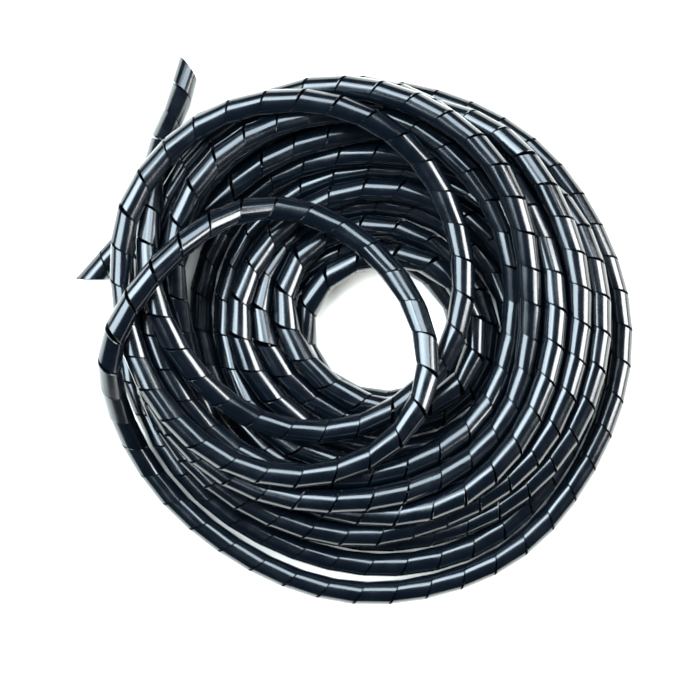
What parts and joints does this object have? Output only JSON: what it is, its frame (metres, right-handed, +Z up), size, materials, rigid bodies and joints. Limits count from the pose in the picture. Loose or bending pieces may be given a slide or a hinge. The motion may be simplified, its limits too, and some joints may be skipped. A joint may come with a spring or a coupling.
{
  "type": "spiral cable wrap",
  "caption": "Loose coil of thin-walled plastic spiral cable wrap: a tube slit along a helix, in overlapping turns with two free cut ends.",
  "frame": {"origin": "on the floor, under the middle of the heap's box", "axes": "+Z up; +Y towards the side where the upper loose end points, +X to the right seen from above"},
  "size_m": [0.1884, 0.184, 0.0436],
  "materials": {
    "wrap": "glossy black polyethylene"
  },
  "bodies": {
    "root": {"spiral_wrap": "wrap"}
  },
  "joints": []
}
